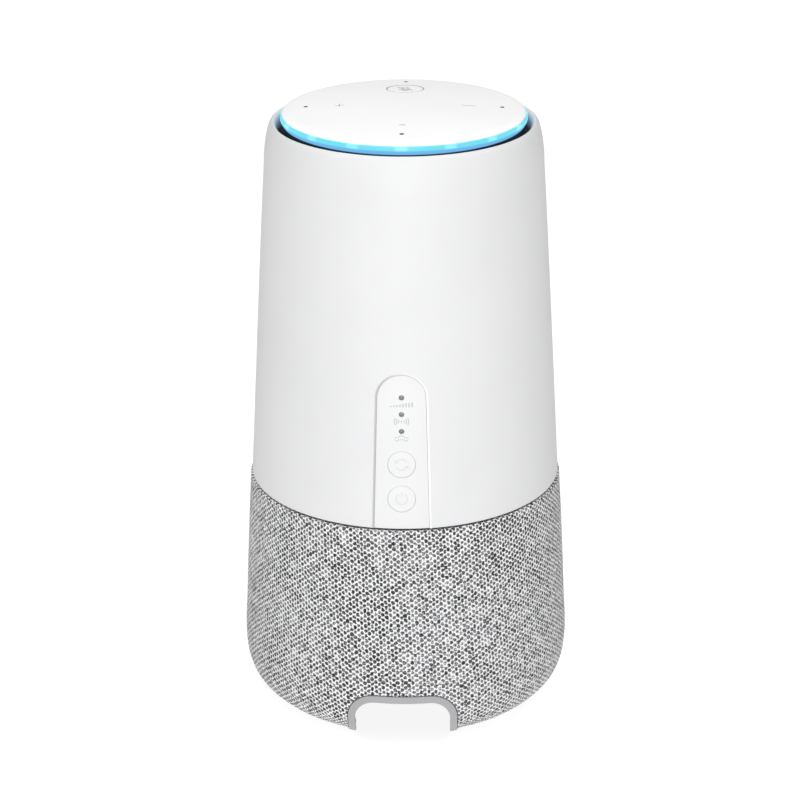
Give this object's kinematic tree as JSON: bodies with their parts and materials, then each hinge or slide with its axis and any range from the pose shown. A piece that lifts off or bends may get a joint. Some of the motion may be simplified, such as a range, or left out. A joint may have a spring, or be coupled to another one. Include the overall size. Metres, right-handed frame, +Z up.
{
  "type": "smart speaker",
  "caption": "Tapered smart speaker with built-in router: touch cap, light ring, front status panel with keys, fabric-wrapped base and cable arch.",
  "frame": {"origin": "centre of the foot on the floor plane, directly under the speaker's axis", "axes": "+Z up along the speaker's axis, -Y towards the side with the status lights, keys and cable arch, +X to the right seen from that side"},
  "size_m": [0.1046, 0.105, 0.193],
  "materials": {
    "white_shell": "satin moulded",
    "cap_white": "fine matt",
    "panel_white": "satin moulded",
    "key_white": "fine matt",
    "trim_grey": "fine matt",
    "knit_fabric": "open knitted mesh",
    "smoke_lens": "polished",
    "light_guide": "diffusing",
    "dark_plastic": "moulded",
    "foot_rubber": "matt",
    "circuit_board": "solder mask",
    "steel": "plated",
    "aluminium": "bead blasted",
    "ferrite": "sintered",
    "cone_paper": "pressed pulp",
    "antenna_metal": "plated",
    "led_lens": "clear"
  },
  "bodies": {
    "housing": {"shell": "white_shell", "front_panel": "panel_white", "top_cap": "cap_white", "light_ring": "light_guide", "seam_ring": "dark_plastic", "fabric_sleeve": "knit_fabric", "grille_frame": "white_shell", "cable_arch_trim": "trim_grey", "base_cover": "white_shell", "port_housing": "dark_plastic", "foot_ring": "foot_rubber", "ethernet_jack": "steel", "dc_jack": "dark_plastic", "sim_holder": "steel", "port_board": "circuit_board", "reset_switch": "dark_plastic", "sound_diffuser": "dark_plastic", "speaker_enclosure": "dark_plastic", "driver_basket": "steel", "driver_gasket": "foot_rubber", "driver_top_plate": "steel", "driver_magnet": "ferrite", "driver_yoke": "steel", "driver_surround": "foot_rubber", "pairing_switch": "dark_plastic", "power_switch": "dark_plastic", "key_board": "circuit_board", "core_frame": "dark_plastic", "main_board": "circuit_board", "rf_shield": "steel", "heat_sink": "aluminium", "cap_carrier": "dark_plastic", "top_board": "circuit_board", "mute_switch": "dark_plastic", "base_screw_1": "steel", "driver_screw_1": "steel", "base_screw_2": "steel", "driver_screw_2": "steel", "base_screw_3": "steel", "driver_screw_3": "steel", "base_screw_4": "steel", "driver_screw_4": "steel", "board_screw_1": "steel", "board_screw_2": "steel", "signal_light_pipe": "smoke_lens", "signal_led": "led_lens", "wifi_light_pipe": "smoke_lens", "wifi_led": "led_lens", "lan_light_pipe": "smoke_lens", "lan_led": "led_lens", "mobile_antenna_left": "antenna_metal", "wifi_antenna_left": "antenna_metal", "mobile_antenna_right": "antenna_metal", "wifi_antenna_right": "antenna_metal"},
    "mute_key": {"mute_button": "cap_white"},
    "pairing_key": {"pairing_button": "key_white"},
    "power_key": {"power_button": "key_white"},
    "reset_key": {"reset_button": "dark_plastic"},
    "sim_carrier": {"sim_tray": "trim_grey"},
    "driver_diaphragm": {"driver_cone": "cone_paper"}
  },
  "joints": [
    {"name": "mute_press", "type": "slide", "parent": "housing", "child": "mute_key", "axis": [0, 0, -1], "range_m": [0, 0.0005], "stiffness_N_per_m": 800, "springref_m": -0.0003},
    {"name": "pairing_press", "type": "slide", "parent": "housing", "child": "pairing_key", "axis": [0, 0.9983, -0.0577], "range_m": [0, 0.0005], "stiffness_N_per_m": 800, "springref_m": -0.0003},
    {"name": "power_press", "type": "slide", "parent": "housing", "child": "power_key", "axis": [0, 0.9983, -0.0577], "range_m": [0, 0.0005], "stiffness_N_per_m": 800, "springref_m": -0.0003},
    {"name": "reset_press", "type": "slide", "parent": "housing", "child": "reset_key", "axis": [0, 0, 1], "range_m": [0, 0.0004], "stiffness_N_per_m": 800, "springref_m": -0.0003},
    {"name": "sim_slide", "type": "slide", "parent": "housing", "child": "sim_carrier", "axis": [0, -1, 0], "range_m": [0, 0.014]},
    {"name": "cone_travel", "type": "slide", "parent": "housing", "child": "driver_diaphragm", "axis": [0, 0, 1], "range_m": [-0.0015, 0.0015], "stiffness_N_per_m": 1500, "deforming": ["driver_surround"]}
  ]
}
